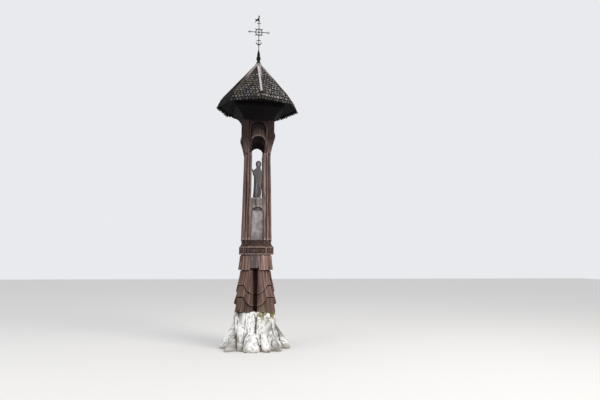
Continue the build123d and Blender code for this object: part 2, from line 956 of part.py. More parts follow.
pieces = {
    "root_foot": root_foot,
    "tier_bottom": tier_bottom,
    "tier_lower": tier_lower,
    "tier_upper": tier_upper,
    "tier_top": tier_top,
    "tongue_panels": tongue_panels,
    "waist_band": waist_band,
    "column_cove": column_cove,
    "post_back_right": post_back_right,
    "post_back_left": post_back_left,
    "post_front_left": post_front_left,
    "post_front_right": post_front_right,
    "side_panel_right": side_panel_right,
    "side_panel_left": side_panel_left,
    "pedestal": pedestal,
    "plaque": plaque,
    "figure_base": figure_base,
    "figure": figure,
    "head_block": head_block,
    "hood_front": hood_front,
    "hood_back": hood_back,
    "hood_right": hood_right,
    "hood_left": hood_left,
    "capital": capital,
    "roof_deck": roof_deck,
    "eave_rail": eave_rail,
    "eave_boards": eave_boards,
    "hip_strips": hip_strips,
    "roof_cap": roof_cap,
    "finial": finial,
    "cross_rod": cross_rod,
    "cross_arms": cross_arms,
    "ring_quarters": ring_quarters,
    "rod_crosslets": rod_crosslets,
    "crescent": crescent,
    "vane": vane,
}
for number, slope in enumerate(roof_slopes, start=1):
    pieces[f"roof_slope_{number}"] = slope

for name, piece in pieces.items():
    piece.part.label = name
    export_step(piece.part, f"parts/{name}.step")
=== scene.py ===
import math
import random

import bmesh
import bpy
from mathutils import Matrix, Vector, noise


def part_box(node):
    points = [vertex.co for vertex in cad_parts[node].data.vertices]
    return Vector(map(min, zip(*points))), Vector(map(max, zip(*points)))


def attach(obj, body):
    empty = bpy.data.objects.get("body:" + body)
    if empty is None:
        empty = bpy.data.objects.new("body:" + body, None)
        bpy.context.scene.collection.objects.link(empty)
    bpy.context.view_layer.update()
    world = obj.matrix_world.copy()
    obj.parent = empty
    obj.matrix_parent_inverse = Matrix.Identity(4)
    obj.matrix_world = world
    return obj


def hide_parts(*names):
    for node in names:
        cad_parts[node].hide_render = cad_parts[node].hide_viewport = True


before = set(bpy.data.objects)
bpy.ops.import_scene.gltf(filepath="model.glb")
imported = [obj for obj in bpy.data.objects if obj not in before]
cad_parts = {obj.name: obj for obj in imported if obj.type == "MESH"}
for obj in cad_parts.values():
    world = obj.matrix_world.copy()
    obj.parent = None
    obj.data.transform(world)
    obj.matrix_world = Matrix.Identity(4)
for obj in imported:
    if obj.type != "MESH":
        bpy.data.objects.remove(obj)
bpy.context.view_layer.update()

# The viewpoint of the picture: a person's eye height on the road, a wide lens, looking a little up
# and past the pillar's right side.
eye_distance = 9.4
eye_height = 1.6
eye_azimuth = math.radians(-4.5)
look_right = math.radians(4.93)
look_up = math.radians(6.5)
camera_roll = math.radians(-0.25)
focal_length = 30.6
camera_data = bpy.data.cameras.new("eye")
camera_data.lens = focal_length
camera = bpy.data.objects.new("eye", camera_data)
camera.location = (
    eye_distance * math.sin(eye_azimuth),
    -eye_distance * math.cos(eye_azimuth),
    eye_height,
)
heading = eye_azimuth - look_right
camera.rotation_euler = (math.pi / 2 + look_up, camera_roll, heading)
bpy.context.collection.objects.link(camera)
bpy.context.scene.camera = camera

# Soft studio light: a bright even sky, a wide lamp high on the right and a weak one on the left, so
# that the pillar's left side lies in shade.
sky = bpy.data.worlds.new("sky")
sky.use_nodes = True
sky.node_tree.nodes["Background"].inputs["Color"].default_value = (0.96, 0.97, 1.0, 1)
sky.node_tree.nodes["Background"].inputs["Strength"].default_value = 0.85
bpy.context.scene.world = sky
bpy.context.scene.view_settings.view_transform = "Standard"


def wide_lamp(name, place, target, size, power, tint):
    """Square area lamp aimed at a point."""
    lamp_data = bpy.data.lights.new(name, "AREA")
    lamp_data.size = size
    lamp_data.energy = power
    lamp_data.color = tint
    lamp = bpy.data.objects.new(name, lamp_data)
    lamp.location = place
    aim = Vector(target) - Vector(place)
    lamp.rotation_euler = aim.to_track_quat("-Z", "Y").to_euler()
    bpy.context.collection.objects.link(lamp)


pillar_middle = (0, 0, 3)
wide_lamp("key_lamp", (5, -6, 9), pillar_middle, size=4, power=590, tint=(1.0, 0.97, 0.93))
wide_lamp("fill_lamp", (-7, -5, 6), pillar_middle, size=6, power=200, tint=(0.94, 0.97, 1.0))

# Plain pale floor under the foot. It only stands in the picture and is no part of the shrine, which
# has its own flat underside on the ground.


def mesh_of(shell, name):
    """Mesh with the faces of a working shell, which is freed."""
    mesh = bpy.data.meshes.new(name)
    shell.to_mesh(mesh)
    shell.free()
    return mesh


def linked(mesh, name):
    """Object in the scene that carries a mesh."""
    holder = bpy.data.objects.new(name, mesh)
    bpy.context.collection.objects.link(holder)
    return holder


floor_half = 30
floor_shell = bmesh.new()
bmesh.ops.create_grid(floor_shell, x_segments=1, y_segments=1, size=floor_half)
floor = linked(mesh_of(floor_shell, "floor"), "floor")
floor_paint = bpy.data.materials.new("floor_paint")
floor_paint.use_nodes = True
floor_shader = floor_paint.node_tree.nodes["Principled BSDF"]
floor_shader.inputs["Base Color"].default_value = (0.72, 0.71, 0.69, 1)
floor_shader.inputs["Roughness"].default_value = 0.9
floor.data.materials.append(floor_paint)

# Root foot: the oak's own stump, broader than the trunk, with flares that run out to the ground.
# It is daubed with lime wash, which is dappled with grey, streaked by rain, flaked off here and there
# and mossy under the first skirt. Both flanks are painted greyer as shade, and the hollows darker
# with dirt and painted shade.


def carried_out(block):
    """Mesh of an object with its modifiers carried out; the object and its own mesh go."""
    own_mesh = block.data
    seen = block.evaluated_get(bpy.context.evaluated_depsgraph_get())
    worked_mesh = bpy.data.meshes.new_from_object(seen)
    bpy.data.objects.remove(block)
    bpy.data.meshes.remove(own_mesh)
    return worked_mesh


def evenly_meshed(rough, cell, rounds):
    """Turn closed shells that may cross into one skin of even small faces, edges worn soft."""
    block = linked(mesh_of(rough, "rough"), "rough")
    skin = block.modifiers.new("skin", "REMESH")
    skin.mode = "VOXEL"
    skin.voxel_size = cell
    even_mesh = carried_out(block)
    shell = bmesh.new()
    shell.from_mesh(even_mesh)
    bpy.data.meshes.remove(even_mesh)
    for _ in range(rounds):
        bmesh.ops.smooth_vert(
            shell, verts=shell.verts, factor=0.5, use_axis_x=True, use_axis_y=True, use_axis_z=True,
        )
    shell.normal_update()
    return shell


def merged(node_name):
    """Copy of a CAD piece's mesh with its loose triangles joined."""
    weld = 0.0001
    copy = bmesh.new()
    copy.from_mesh(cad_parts[node_name].data)
    bmesh.ops.remove_doubles(copy, verts=copy.verts, dist=weld)
    return copy


def remeshed(node_name, cell, rounds=2):
    """Evenly meshed copy of a CAD piece, ready to be worked."""
    return evenly_meshed(merged(node_name), cell, rounds)


def grain_spot(point, tapered):
    """Place of a point in the wood's grain, which follows the taper of a carved piece."""
    log_radius = 0.3
    least_radius = 0.05
    spread = log_radius / max(math.hypot(point.x, point.y), least_radius) if tapered else 1
    return Vector((point.x * spread, point.y * spread, point.z))


def grain_noise(point, across, along, tapered):
    """Noise in the wood's grain, with waves of one size across and another along it."""
    spot = grain_spot(point, tapered)
    return noise.noise(Vector((spot.x / across, spot.y / across, spot.z / along)))


def roughen(shell, depth, across, along, tapered=False):
    """Push the surface in and out by noise in the grain."""
    for vert in shell.verts:
        vert.co += vert.normal * depth * grain_noise(vert.co, across, along, tapered)
    shell.normal_update()


def crease(shell, depth, across, along, width, tapered=False):
    """Cut narrow furrows into the surface, drawn out along the grain."""
    for vert in shell.verts:
        share = 1 - abs(grain_noise(vert.co, across, along, tapered)) / width
        if share > 0:
            vert.co -= vert.normal * depth * share
    shell.normal_update()


def mark_wear(shell, spread):
    """Write how far each point stands proud (above 0) or lies in a hollow (below 0) as wear."""
    shortest = 0.00001
    wear = shell.verts.layers.float.new("wear")
    for vert in shell.verts:
        rise = 0
        for edge in vert.link_edges:
            step = edge.other_vert(vert).co - vert.co
            rise -= vert.normal.dot(step) / max(step.length, shortest)
        vert[wear] = rise / max(len(vert.link_edges), 1)
    for _ in range(spread):
        soft = []
        for vert in shell.verts:
            around = [edge.other_vert(vert)[wear] for edge in vert.link_edges]
            soft.append((vert[wear] + sum(around)) / (1 + len(around)))
        for vert, value in zip(shell.verts, soft):
            vert[wear] = value


def thinned(mesh, share):
    """Mesh with a share of its faces left, the flat parts thinned most."""
    block = linked(mesh, "thick")
    fewer = block.modifiers.new("fewer", "DECIMATE")
    fewer.ratio = share
    return carried_out(block)


def finished_piece(shell, name, finish, nodes=(), body="shrine", smooth=True, tapered=False):
    """Turn a worked mesh into a piece that rides on a body and stands for CAD nodes."""
    heavy = 9000
    kept_share = 0.6
    grain = shell.verts.layers.float_vector.new("grain")
    for vert in shell.verts:
        vert[grain] = grain_spot(vert.co, tapered)
    for face in shell.faces:
        face.smooth = smooth
    mesh = mesh_of(shell, name)
    if len(mesh.polygons) > heavy:
        mesh = thinned(mesh, kept_share)
    mesh.materials.append(finish)
    piece = linked(mesh, name)
    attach(piece, body)
    if nodes:
        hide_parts(*nodes)
    return piece


def new_finish(name, roughness):
    """Empty finish with a dull shine: its material and its node tree."""
    dull_shine = 0.12
    finish = bpy.data.materials.new(name)
    finish.use_nodes = True
    shader = finish.node_tree.nodes["Principled BSDF"]
    shader.inputs["Roughness"].default_value = roughness
    shader.inputs["Specular IOR Level"].default_value = dull_shine
    return finish, finish.node_tree


def mottle(tree, scale, stretch=(1, 1, 1), detail=5, grain=False):
    """Noise on the piece's own or grain coordinates, drawn out along an axis with a small stretch."""
    if grain:
        place = tree.nodes.new("ShaderNodeAttribute")
        place.attribute_name = "grain"
        start = place.outputs["Vector"]
    else:
        place = tree.nodes.new("ShaderNodeTexCoord")
        start = place.outputs["Object"]
    mapping = tree.nodes.new("ShaderNodeMapping")
    mapping.inputs["Scale"].default_value = stretch
    pattern = tree.nodes.new("ShaderNodeTexNoise")
    pattern.inputs["Scale"].default_value = scale
    pattern.inputs["Detail"].default_value = detail
    tree.links.new(start, mapping.inputs["Vector"])
    tree.links.new(mapping.outputs["Vector"], pattern.inputs["Vector"])
    return pattern.outputs["Fac"]


def reach(tree, axis, low, high, turn=0):
    """Share of the way from low to high along an axis of the piece, which may be turned about Z."""
    place = tree.nodes.new("ShaderNodeTexCoord")
    turned = tree.nodes.new("ShaderNodeMapping")
    turned.inputs["Rotation"].default_value = (0, 0, turn)
    parts = tree.nodes.new("ShaderNodeSeparateXYZ")
    tree.links.new(place.outputs["Object"], turned.inputs["Vector"])
    tree.links.new(turned.outputs["Vector"], parts.inputs["Vector"])
    return stepped(tree, parts.outputs[axis], low, high)


def stepped(tree, factor, low, high):
    """Factor drawn out so that low becomes 0 and high becomes 1, with soft ends."""
    step = tree.nodes.new("ShaderNodeMapRange")
    step.interpolation_type = "SMOOTHSTEP"
    step.inputs["From Min"].default_value = low
    step.inputs["From Max"].default_value = high
    tree.links.new(factor, step.inputs["Value"])
    return step.outputs["Result"]


def both(tree, first, second):
    """Product of two factors."""
    times = tree.nodes.new("ShaderNodeMath")
    times.operation = "MULTIPLY"
    tree.links.new(first, times.inputs[0])
    tree.links.new(second, times.inputs[1])
    return times.outputs[0]


def layered(tree, share, under, over):
    """Colour that goes from under to over with the share; either is a colour or a link."""
    mix = tree.nodes.new("ShaderNodeMix")
    mix.data_type = "RGBA"
    tree.links.new(share, mix.inputs["Factor"])
    sockets = [socket for socket in mix.inputs if socket.type == "RGBA"]
    for socket, colour in zip(sockets, (under, over)):
        if isinstance(colour, tuple):
            socket.default_value = (*colour, 1)
        else:
            tree.links.new(colour, socket)
    return next(socket for socket in mix.outputs if socket.type == "RGBA")


def attribute_factor(tree, name):
    """Factor that a piece carries on its points."""
    carried = tree.nodes.new("ShaderNodeAttribute")
    carried.attribute_name = name
    return carried.outputs["Fac"]


def coated(tree, colour, reliefs):
    """Join colour and relief to the shader: each relief is a factor and its depth in metres."""
    shader = tree.nodes["Principled BSDF"]
    tree.links.new(colour, shader.inputs["Base Color"])
    surface = None
    for factor, depth in reliefs:
        bump = tree.nodes.new("ShaderNodeBump")
        bump.inputs["Strength"].default_value = 1
        bump.inputs["Distance"].default_value = depth
        tree.links.new(factor, bump.inputs["Height"])
        if surface:
            tree.links.new(surface, bump.inputs["Normal"])
        surface = bump.outputs["Normal"]
    tree.links.new(surface, shader.inputs["Normal"])


def hollow_dirt_and_shade(tree):
    """Share of a hollow in each point's wear, for dirt and damp and for painted shade in hollows."""
    return stepped(tree, attribute_factor(tree, "wear"), -0.012, -0.08)


lime_white = (0.9, 0.9, 0.89)
lime_grey = (0.52, 0.50, 0.47)
left_shade_grey = (0.22, 0.2, 0.165)
right_shade_grey = (0.25, 0.23, 0.22)
fleck_grey = (0.46, 0.445, 0.425)
crack_dirt_and_shade = (0.15, 0.13, 0.115)
streak_grey = (0.27, 0.25, 0.225)
bare_root = (0.2, 0.155, 0.125)
moss_green = (0.23, 0.205, 0.09)
splashed_earth = (0.3, 0.26, 0.21)
lime_wash, lime_tree = new_finish("lime_wash", 0.92)
clouds = mottle(lime_tree, 9, (1, 1, 0.4), 8, True)
dapples = mottle(lime_tree, 34, (1, 1, 0.5), 9, True)
# Painted shade: both flanks of the foot are mottled greyer.
left_flank_shade = both(lime_tree, reach(lime_tree, "X", -0.08, -0.3), stepped(lime_tree, clouds, 0.6, 0.36))
right_flank_shade = both(lime_tree, reach(lime_tree, "X", 0.1, 0.26), stepped(lime_tree, clouds, 0.6, 0.42))
flecks = stepped(lime_tree, mottle(lime_tree, 55, (1, 1, 0.3), 6, True), 0.56, 0.66)
streaks = stepped(lime_tree, mottle(lime_tree, 40, (1, 1, 0.05), 5, True), 0.58, 0.74)
flakes = stepped(lime_tree, mottle(lime_tree, 26, (1, 1, 0.4), 10, True), 0.64, 0.67)
moss_band = both(lime_tree, reach(lime_tree, "Z", 0.40, 0.62), reach(lime_tree, "X", -0.02, 0.05))
moss_spots = both(lime_tree, stepped(lime_tree, mottle(lime_tree, 11, detail=7), 0.45, 0.56), moss_band)
splash = both(lime_tree, reach(lime_tree, "Z", 0.09, 0.0), stepped(lime_tree, clouds, 0.3, 0.6))
lime_colour = layered(lime_tree, stepped(lime_tree, dapples, 0.38, 0.5), lime_grey, lime_white)
for share, stain in (
    (left_flank_shade, left_shade_grey),
    (right_flank_shade, right_shade_grey),
    (flecks, fleck_grey),
    (hollow_dirt_and_shade(lime_tree), crack_dirt_and_shade),
    (streaks, streak_grey),
    (flakes, bare_root),
    (moss_spots, moss_green),
    (splash, splashed_earth),
):
    lime_colour = layered(lime_tree, share, lime_colour, stain)
coated(lime_tree, lime_colour, [
    (mottle(lime_tree, 70, (1, 1, 0.2), 8, True), 0.007),
    (mottle(lime_tree, 22, (1, 1, 0.08), 5, True), 0.014),
])

foot_cell = 0.009
foot_shell = remeshed("root_foot", foot_cell, 3)
roughen(foot_shell, depth=0.02, across=0.09, along=0.4, tapered=True)
roughen(foot_shell, depth=0.012, across=0.03, along=0.18, tapered=True)
roughen(foot_shell, depth=0.006, across=0.015, along=0.05)
crease(foot_shell, depth=0.02, across=0.09, along=0.9, width=0.1, tapered=True)
for vert in foot_shell.verts:
    if vert.co.z < foot_cell:
        vert.co.z = 0
foot_shell.normal_update()
mark_wear(foot_shell, 4)
limed_foot = finished_piece(
    foot_shell, "limed_foot", lime_wash, ["root_foot"], tapered=True,
)
for vert in limed_foot.data.vertices:
    vert.co.z = max(vert.co.z, 0)

# Trunk: four tiers carved from the oak log, each a skirt of four lobes with a deep groove in the
# middle of every side. The bare oak has weathered to a pinkish brown, paler higher up and stained
# green at the foot, with upright grain and open checks. Its grooves and hollows are painted dark
# with shade, and its right side lighter than its left as painted light.


def side_lit(tree, colour, dark, light):
    """Painted light: brighten a colour from shaded on the left of the pillar to lit on the right, the
    side of the sun.
    """
    side_reach = 0.14
    side = tree.nodes.new("ShaderNodeMapRange")
    side.inputs["To Min"].default_value = dark
    side.inputs["To Max"].default_value = light
    tree.links.new(reach(tree, "X", -side_reach, side_reach), side.inputs["Value"])
    toned = tree.nodes.new("ShaderNodeHueSaturation")
    tree.links.new(side.outputs["Result"], toned.inputs["Value"])
    tree.links.new(colour, toned.inputs["Color"])
    return toned.outputs["Color"]


def open_checks(tree):
    """Share of the long open checks that drying has split along the grain."""
    check_noise = mottle(tree, 21, (1, 1, 0.018), 2, True)
    offset = tree.nodes.new("ShaderNodeMath")
    offset.operation = "SUBTRACT"
    offset.inputs[1].default_value = 0.5
    tree.links.new(check_noise, offset.inputs[0])
    folded = tree.nodes.new("ShaderNodeMath")
    folded.operation = "ABSOLUTE"
    tree.links.new(offset.outputs[0], folded.inputs[0])
    lines = stepped(tree, folded.outputs[0], 0.012, 0.004)
    return both(tree, lines, stepped(tree, mottle(tree, 7, (1, 1, 0.3), 2, True), 0.42, 0.55))


def dimmed(colour, share):
    """The same hue at a share of its brightness."""
    return tuple(share * part for part in colour)


def oak_finish(
    name, plain, worn, hollow, blotch=None, roof_shade_levels=None, paints=None, sides=(0.86, 1.16), split=True,
):
    """Weathered oak: dark in hollows with dirt and painted shade, pale on proud edges, with upright
    grain and open checks.

    Sunk places, and the wood under the roof from one level to another, go over to the colour of its
    hollows as painted shade. Sides make the pillar's right lighter than its left as painted light.
    Paints are colours laid on where the piece is marked for them; some of them are painted light.
    Wood that isn't split is painted, so its grain is filled."""
    finish, tree = new_finish(name, 0.85)
    wear = attribute_factor(tree, "wear")
    fibres = mottle(tree, 190, (1, 1, 0.014), 3, True)
    bands = stepped(tree, mottle(tree, 52, (1, 1, 0.022), 4, True), 0.36, 0.62)
    colour = layered(tree, bands, dimmed(plain, 0.58), plain)
    clouds = stepped(tree, mottle(tree, 5.5, (1, 1, 0.3), 5, True), 0.46, 0.66)
    colour = layered(tree, clouds, colour, blotch or dimmed(plain, 0.66))
    pale_streaks = stepped(tree, mottle(tree, 85, (1, 1, 0.014), 3, True), 0.53, 0.66)
    colour = layered(tree, both(tree, pale_streaks, stepped(tree, wear, -0.06, 0.03)), colour, worn)
    edges = both(tree, stepped(tree, wear, 0.035, 0.13), stepped(tree, fibres, 0.3, 0.6))
    # Painted light: the pillar's right side lighter than its left, by sides.
    colour = side_lit(tree, layered(tree, edges, colour, worn), *sides)
    for mark, paint in (paints or {}).items():
        colour = layered(tree, attribute_factor(tree, mark), colour, paint)
    # Painted shade: hollows with their dirt, sunk places and the wood under the roof go over to the
    # hollow colour.
    colour = layered(tree, hollow_dirt_and_shade(tree), colour, hollow)
    colour = layered(tree, attribute_factor(tree, "sunk"), colour, hollow)
    if roof_shade_levels:
        colour = layered(tree, reach(tree, "Z", *roof_shade_levels), colour, hollow)
    if split:
        checks = open_checks(tree)
        colour = layered(tree, checks, colour, dimmed(hollow, 0.3))
        coated(tree, colour, [(fibres, 0.0015), (bands, 0.004), (stepped(tree, checks, 1, 0), 0.006)])
    else:
        coated(tree, colour, [(fibres, 0.0002), (bands, 0.0005)])
    return finish


def mark_sunk_shade(shell, turn, start, full):
    """Write how far each point lies behind the widest reach at its level, as sunk from 0 to 1; sunk
    places are painted with shade.
    """
    sunk = shell.verts.layers.float.new("sunk")
    squared = Matrix.Rotation(-turn, 3, "Z")
    step = 0.012
    widest = {}
    reaches = []
    for vert in shell.verts:
        turned = squared @ vert.co
        out = max(abs(turned.x), abs(turned.y))
        key = round(vert.co.z / step)
        widest[key] = max(widest.get(key, 0), out)
        reaches.append((vert, key, out))
    for vert, key, out in reaches:
        vert[sunk] = min(max((widest[key] - out - start) / (full - start), 0), 1)


trunk_turn = math.radians(-4.5)
tier_cell = 0.0065
tier_tones = {"tier_bottom": 0.78, "tier_lower": 0.92, "tier_upper": 0.98, "tier_top": 1.27}
trunk_brown = (0.168, 0.103, 0.084)
trunk_worn = (0.33, 0.225, 0.185)
trunk_hollow = (0.040, 0.018, 0.014)
green_stain = (0.1, 0.075, 0.046)
for tier_name, tone in tier_tones.items():
    tier_oak = oak_finish(
        tier_name + "_oak",
        plain=dimmed(trunk_brown, tone),
        worn=dimmed(trunk_worn, tone),
        hollow=trunk_hollow,
        blotch=green_stain if tier_name == "tier_bottom" else None,
    )
    tier_shell = remeshed(tier_name, tier_cell)
    mark_sunk_shade(tier_shell, trunk_turn, start=0.035, full=0.12)
    roughen(tier_shell, depth=0.007, across=0.07, along=0.6, tapered=True)
    roughen(tier_shell, depth=0.003, across=0.015, along=0.4, tapered=True)
    crease(tier_shell, depth=0.004, across=0.07, along=1.5, width=0.07, tapered=True)
    mark_wear(tier_shell, 4)
    finished_piece(tier_shell, "carved_" + tier_name, tier_oak, [tier_name], tapered=True)

# Tongue panels: a flat, greyer oak board with a rounded foot is let in over the groove of each side
# of the top tier. Its face is worn and scored by old tool marks.
tongue_oak = oak_finish(
    "tongue_oak",
    plain=(0.145, 0.109, 0.1),
    worn=(0.42, 0.36, 0.34),
    hollow=(0.03, 0.019, 0.017),
)
tongue_shell = remeshed("tongue_panels", 0.0045)
roughen(tongue_shell, depth=0.004, across=0.022, along=0.1)
roughen(tongue_shell, depth=0.002, across=0.009, along=0.03)
mark_wear(tongue_shell, 3)
finished_piece(tongue_shell, "worn_tongues", tongue_oak, ["tongue_panels"])

# Waist band and the cove over it: a moulded oak belt round the log's top with sunk panels between
# fluted corner blocks, darker than the trunk because rain runs off the cove on to it.
band_low, band_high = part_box("waist_band")
ledge_height = 0.017
ledge_paint = 0.75
band_brown = (0.078, 0.048, 0.040)
band_worn = (0.22, 0.15, 0.125)
band_hollow = (0.02, 0.011, 0.0095)
for band_name, band_cell, tone in (("waist_band", 0.0055, 1.3), ("column_cove", 0.006, 0.76)):
    band_oak = oak_finish(
        band_name + "_oak",
        plain=dimmed(band_brown, tone),
        worn=dimmed(band_worn, tone),
        hollow=dimmed(band_hollow, tone),
        paints={"ledge": (0.26, 0.19, 0.165)},
    )
    band_shell = remeshed(band_name, band_cell, 1)
    ledge = band_shell.verts.layers.float.new("ledge")
    for vert in band_shell.verts:
        inside = band_low.z + ledge_height <= vert.co.z <= band_high.z - ledge_height
        vert[ledge] = 0 if inside or band_name != "waist_band" else ledge_paint
    mark_sunk_shade(band_shell, 0, start=0.008, full=0.02)
    roughen(band_shell, depth=0.003, across=0.03, along=0.12)
    mark_wear(band_shell, 2)
    finished_piece(band_shell, "moulded_" + band_name, band_oak, [band_name])

# Column: four reeded oak corner posts with a closed panel between the two on either side. The beads
# between the reeds catch the light. The weathered reddish brown is painted dark under the roof with
# the roof's shade, and the posts' faces towards the niche are painted paler as light.


def sliced(node_name, level_step, side_step):
    """Merged mesh of a CAD piece, cut level and upright so that its long faces can be worked."""
    low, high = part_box(node_name)
    shell = merged(node_name)
    for axis, spacing in ((2, level_step), (0, side_step), (1, side_step)):
        across = Vector((0, 0, 0))
        across[axis] = 1
        for step in range(1, int((high[axis] - low[axis]) / spacing)):
            bmesh.ops.bisect_plane(
                shell,
                geom=shell.verts[:] + shell.edges[:] + shell.faces[:],
                plane_co=low + across * step * spacing,
                plane_no=across,
                dist=0.0001,
            )
    shell.normal_update()
    return shell


# Painted light: sides makes the column's right lighter than its left.
column_oak = oak_finish(
    "column_oak",
    plain=(0.182, 0.118, 0.102),
    worn=(0.34, 0.248, 0.215),
    hollow=(0.03, 0.018, 0.016),
    roof_shade_levels=(3.42, 3.8),
    paints={"jamb_light": (0.40, 0.31, 0.285)},
    sides=(0.88, 1.08),
)
sway = 0.003
sway_across = 0.05
sway_along = 0.2
sway_seed = 11
noise.seed_set(sway_seed)
jamb_reach = 0.14
jamb_facing = -0.6
jamb_light_share = 0.7
for post_name in ("post_front_left", "post_front_right", "post_back_left", "post_back_right"):
    post_shell = sliced(post_name, level_step=0.026, side_step=0.014)
    for vert in post_shell.verts:
        spot = Vector((vert.co.x / sway_across, vert.co.y / sway_across, vert.co.z / sway_along))
        vert.co += sway * noise.noise_vector(spot) * Vector((1, 1, 0))
    # Painted light: the posts' faces towards the niche are painted paler, as if lit.
    jamb_light = post_shell.verts.layers.float.new("jamb_light")
    for vert in post_shell.verts:
        faces_niche = vert.normal.x * math.copysign(1, vert.co.x) < jamb_facing
        vert[jamb_light] = jamb_light_share if faces_niche and abs(vert.co.x) < jamb_reach else 0
    mark_wear(post_shell, 1)
    finished_piece(post_shell, "reeded_" + post_name, column_oak, [post_name], smooth=False)
for panel_name in ("side_panel_left", "side_panel_right"):
    panel_shell = sliced(panel_name, level_step=0.05, side_step=0.03)
    mark_wear(panel_shell, 1)
    finished_piece(panel_shell, "worn_" + panel_name, column_oak, [panel_name], smooth=False)

# Pedestal: the oak block between the posts that carries the figure, greyer than they are, with an
# arched recess in front and behind. Both faces are scored with upright gouge strokes over the recess.
pedestal_oak = oak_finish(
    "pedestal_oak",
    plain=(0.245, 0.205, 0.198),
    worn=(0.48, 0.43, 0.42),
    hollow=(0.05, 0.038, 0.034),
)
pedestal_shell = remeshed("pedestal", 0.0045, 1)
pedestal_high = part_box("pedestal")[1]
gouge_pitch = 0.021
gouge_depth = 0.010
gouge_foot = pedestal_high.z - 0.14
gouge_head = pedestal_high.z - 0.022
gouge_end = 0.02
face_lean = 0.8
face_depth = 0.02
for vert in pedestal_shell.verts:
    on_face = abs(vert.normal.y) > face_lean and abs(vert.co.y) > pedestal_high.y - face_depth
    if on_face and gouge_foot < vert.co.z < gouge_head:
        end_fade = min((vert.co.z - gouge_foot) / gouge_end, (gouge_head - vert.co.z) / gouge_end, 1)
        hollow = 0.5 - 0.5 * math.cos(2 * math.pi * vert.co.x / gouge_pitch)
        vert.co.y -= math.copysign(gouge_depth * hollow * end_fade, vert.co.y)
roughen(pedestal_shell, depth=0.0015, across=0.02, along=0.1)
mark_wear(pedestal_shell, 2)
finished_piece(pedestal_shell, "scored_pedestal", pedestal_oak, ["pedestal"])

# Plaque: a thin arched slab of matt, warm grey stone set in the front recess. It is bare, stained
# and worn.
plaque_stone, plaque_tree = new_finish("plaque_stone", 0.7)
plaque_stain = stepped(plaque_tree, mottle(plaque_tree, 14, (1, 1, 0.6), 6), 0.38, 0.66)
stained_grey = (0.21, 0.19, 0.195)
warm_grey = (0.36, 0.335, 0.345)
plaque_colour = layered(plaque_tree, plaque_stain, stained_grey, warm_grey)
coated(plaque_tree, plaque_colour, [(mottle(plaque_tree, 120, (1, 1, 0.2), 5), 0.0008)])


def dress(node_name, finish):
    """Give a CAD piece its finish."""
    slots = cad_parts[node_name].data.materials
    slots.clear()
    slots.append(finish)


dress("plaque", plaque_stone)

# Figure: a standing robed figure in a mantle and a dark hood, carved with its raised and lowered
# hands from one oak block. It was painted grey, which has worn pale on the folds. The face is plain
# and calm, with lowered lids.


def add_rings(form, sections, segments, folds):
    """Closed form through level rings: height, two half sizes, two shifts and fold depth of each.

    Each of the folds has a count round the form, a share and a start."""
    fold_mean = 0.6
    ring = bmesh.ops.create_circle(form, cap_ends=True, segments=segments, radius=1)["verts"]
    cap = ring[0].link_faces[0]
    turns = {vert: math.atan2(vert.co.y, vert.co.x) for vert in ring}
    for number, (height, half_x, half_y, shift_x, shift_y, depth) in enumerate(sections):
        if number:
            places = {tuple(vert.co): turn for vert, turn in turns.items()}
            grown = bmesh.ops.extrude_face_region(form, geom=[cap])["geom"]
            cap = next(item for item in grown if isinstance(item, bmesh.types.BMFace))
            turns = {vert: places[tuple(vert.co)] for vert in cap.verts}
        for vert, turn in turns.items():
            wave = 0
            for count, share, start in folds:
                wave += share * (abs(math.sin(count / 2 * turn + start)) - fold_mean)
            out = 1 + depth * wave
            vert.co = (
                shift_x + half_x * out * math.cos(turn),
                shift_y + half_y * out * math.sin(turn),
                figure_foot + height,
            )


def add_ball(form, centre, half_sizes):
    """Small rounded mass at a place above the figure's foot."""
    place = Matrix.Translation(Vector(centre) + Vector((0, 0, figure_foot)))
    ball = place @ Matrix.Diagonal((*half_sizes, 1))
    bmesh.ops.create_icosphere(form, subdivisions=3, radius=1, matrix=ball)


def add_limb(form, joints):
    """Limb through its joints, each a place and a radius, from close balls."""
    ball_pitch = 0.006
    for (start, start_radius), (end, end_radius) in zip(joints, joints[1:]):
        way = Vector(end) - Vector(start)
        steps = max(int(way.length / ball_pitch), 1)
        for step in range(steps + 1):
            share = step / steps
            radius = start_radius + (end_radius - start_radius) * share
            add_ball(form, Vector(start) + way * share, (radius, radius, radius))


figure_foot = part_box("figure")[0].z
figure_form = bmesh.new()
ring_segments = 132
robe_folds = ((11, 0.7, 0.4), (17, 0.4, 1.3))
mantle_folds = ((9, 0.7, 0.9), (15, 0.4, 0.2))
add_rings(figure_form, (
    (0.0, 0.067, 0.046, 0.006, -0.002, 0.16),
    (0.02, 0.069, 0.048, 0.006, -0.002, 0.2),
    (0.2, 0.061, 0.045, 0.009, -0.002, 0.17),
    (0.33, 0.058, 0.042, 0.011, -0.001, 0.1),
    (0.42, 0.062, 0.043, 0.01, 0.0, 0.05),
    (0.5, 0.066, 0.042, 0.009, 0.0, 0.03),
    (0.535, 0.054, 0.036, 0.015, 0.0, 0.0),
    (0.56, 0.031, 0.028, 0.023, -0.001, 0.0),
    (0.61, 0.024, 0.024, 0.029, -0.003, 0.0),
), ring_segments, robe_folds)
add_rings(figure_form, (
    (0.05, 0.064, 0.052, 0.014, 0.011, 0.14),
    (0.2, 0.072, 0.05, 0.020, 0.01, 0.14),
    (0.34, 0.072, 0.047, 0.020, 0.009, 0.1),
    (0.45, 0.075, 0.045, 0.017, 0.006, 0.05),
    (0.505, 0.071, 0.043, 0.016, 0.004, 0.02),
    (0.535, 0.056, 0.038, 0.020, 0.003, 0.0),
    (0.56, 0.038, 0.035, 0.026, 0.004, 0.0),
    (0.61, 0.036, 0.034, 0.028, 0.006, 0.0),
), ring_segments, mantle_folds)
head_middle = Vector((0.028, 0, 0.6315))
head_scale = 1.22
skull = ((0, 0.005, 0), (0.0435, 0.042, 0.0523))
face = ((0, -0.013, -0.004), (0.0315, 0.032, 0.042))
